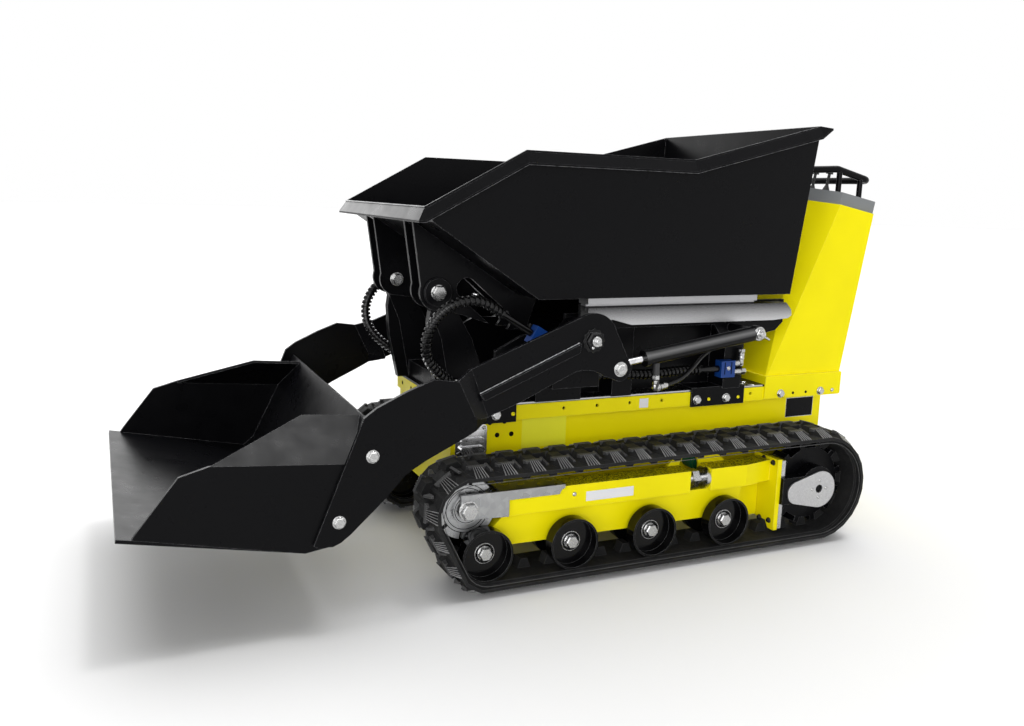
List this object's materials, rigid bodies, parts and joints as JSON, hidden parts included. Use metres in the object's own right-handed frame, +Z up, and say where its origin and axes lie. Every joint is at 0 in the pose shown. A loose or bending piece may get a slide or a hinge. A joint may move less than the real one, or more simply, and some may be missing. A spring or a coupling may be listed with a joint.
{
  "type": "tracked mini dumper with self-loading bucket",
  "caption": "Walk-behind rubber-tracked mini dumper with a forward-tipping hopper, a front self-loading bucket on lift arms and a rear operator console.",
  "frame": {"origin": "on the ground under the middle of the machine's length and width", "axes": "+X forward, +Y to the machine's left, +Z up"},
  "size_m": [2.11, 0.9066, 1.157],
  "materials": {
    "yellow_paint": "gloss powder coat",
    "black_paint": "satin powder coat",
    "track_rubber": "matt moulded rubber",
    "galvanised_steel": "zinc plated",
    "zinc_steel": "bright zinc",
    "cover_aluminium": "machined",
    "grey_cap": "satin",
    "lever_plastic": "moulded",
    "chrome_rod": "polished",
    "hose_rubber": "matt hose cover",
    "blue_clamp": "moulded"
  },
  "bodies": {
    "chassis": {"chassis_frame": "yellow_paint", "battery_block": "black_paint", "deck_plate": "black_paint", "track_left": "track_rubber", "track_right": "track_rubber", "road_wheels_left": "black_paint", "road_wheels_right": "black_paint", "idler_left": "galvanised_steel", "idler_right": "galvanised_steel", "idler_fork_left": "galvanised_steel", "idler_fork_right": "galvanised_steel", "track_frame_left": "yellow_paint", "track_frame_right": "yellow_paint", "tensioner_left": "zinc_steel", "tensioner_right": "zinc_steel", "sprocket_left": "black_paint", "sprocket_right": "black_paint", "drive_unit_left": "black_paint", "drive_unit_right": "black_paint", "drive_cover_left": "cover_aluminium", "drive_cover_right": "cover_aluminium", "console_housing": "yellow_paint", "console_cap": "grey_cap", "handlebar": "black_paint", "control_levers": "lever_plastic", "subframe_front": "black_paint", "arm_bearer_left": "black_paint", "arm_bearer_right": "black_paint", "platform": "black_paint", "rest_rail_left": "galvanised_steel", "rest_rail_right": "galvanised_steel", "tip_clevis": "black_paint", "side_lamp_left": "chrome_rod", "side_lamp_right": "chrome_rod", "hose_loop_left": "hose_rubber", "hose_loop_right": "hose_rubber", "hose_deck_left": "hose_rubber", "hose_deck_right": "hose_rubber", "hose_clamps": "blue_clamp"},
    "hopper": {"hopper_shell": "black_paint", "hopper_brackets": "black_paint", "tip_lug": "black_paint"},
    "loader": {"arm_left": "black_paint", "arm_right": "black_paint", "bucket": "black_paint"},
    "lift_barrel_left": {"lift_barrel_left": "black_paint", "hose_lift_left": "hose_rubber"},
    "lift_barrel_right": {"lift_barrel_right": "black_paint", "hose_lift_right": "hose_rubber"},
    "lift_rod_left": {"lift_rod_left": "chrome_rod"},
    "lift_rod_right": {"lift_rod_right": "chrome_rod"},
    "tip_barrel": {"tip_barrel": "black_paint"},
    "tip_rod": {"tip_rod": "chrome_rod"}
  },
  "joints": [
    {"name": "arm_lift", "type": "hinge", "parent": "chassis", "child": "loader", "pos_m": [-0.015, 0, 0.619], "axis": [0, -1, 0], "range_deg": [-14.5, 118]},
    {"name": "hopper_tip", "type": "hinge", "parent": "chassis", "child": "hopper", "pos_m": [0.309, 0, 0.719], "axis": [0, 1, 0], "range_deg": [0, 70]},
    {"name": "lift_barrel_left_swing", "type": "hinge", "parent": "chassis", "child": "lift_barrel_left", "pos_m": [-0.535, 0.37, 0.612], "axis": [0, -1, 0], "range_deg": [-1.25, 6.56]},
    {"name": "lift_rod_left_slide", "type": "slide", "parent": "lift_barrel_left", "child": "lift_rod_left", "axis": [0.9887, 0, -0.1502], "range_m": [-0.02275, 0.178]},
    {"name": "lift_barrel_right_swing", "type": "hinge", "parent": "chassis", "child": "lift_barrel_right", "pos_m": [-0.535, -0.37, 0.612], "axis": [0, -1, 0], "range_deg": [-1.25, 6.56]},
    {"name": "lift_rod_right_slide", "type": "slide", "parent": "lift_barrel_right", "child": "lift_rod_right", "axis": [0.9887, 0, -0.1502], "range_m": [-0.02275, 0.178]},
    {"name": "tip_barrel_swing", "type": "hinge", "parent": "chassis", "child": "tip_barrel", "pos_m": [-0.395, 0, 0.48], "axis": [0, -1, 0], "range_deg": [-0.5, 13.63]},
    {"name": "tip_rod_slide", "type": "slide", "parent": "tip_barrel", "child": "tip_rod", "axis": [0.9285, 0, 0.3714], "range_m": [-0.001, 0.19138]}
  ],
  "couplings": [
    {"joint": "lift_barrel_left_swing", "follows": "arm_lift", "ratio": 0.051372},
    {"joint": "lift_rod_left_slide", "follows": "arm_lift", "m_per_rad": 0.085942},
    {"joint": "lift_barrel_right_swing", "follows": "arm_lift", "ratio": 0.051372},
    {"joint": "lift_rod_right_slide", "follows": "arm_lift", "m_per_rad": 0.085942},
    {"joint": "tip_barrel_swing", "follows": "hopper_tip", "ratio": 0.18757},
    {"joint": "tip_rod_slide", "follows": "hopper_tip", "m_per_rad": 0.15583}
  ]
}
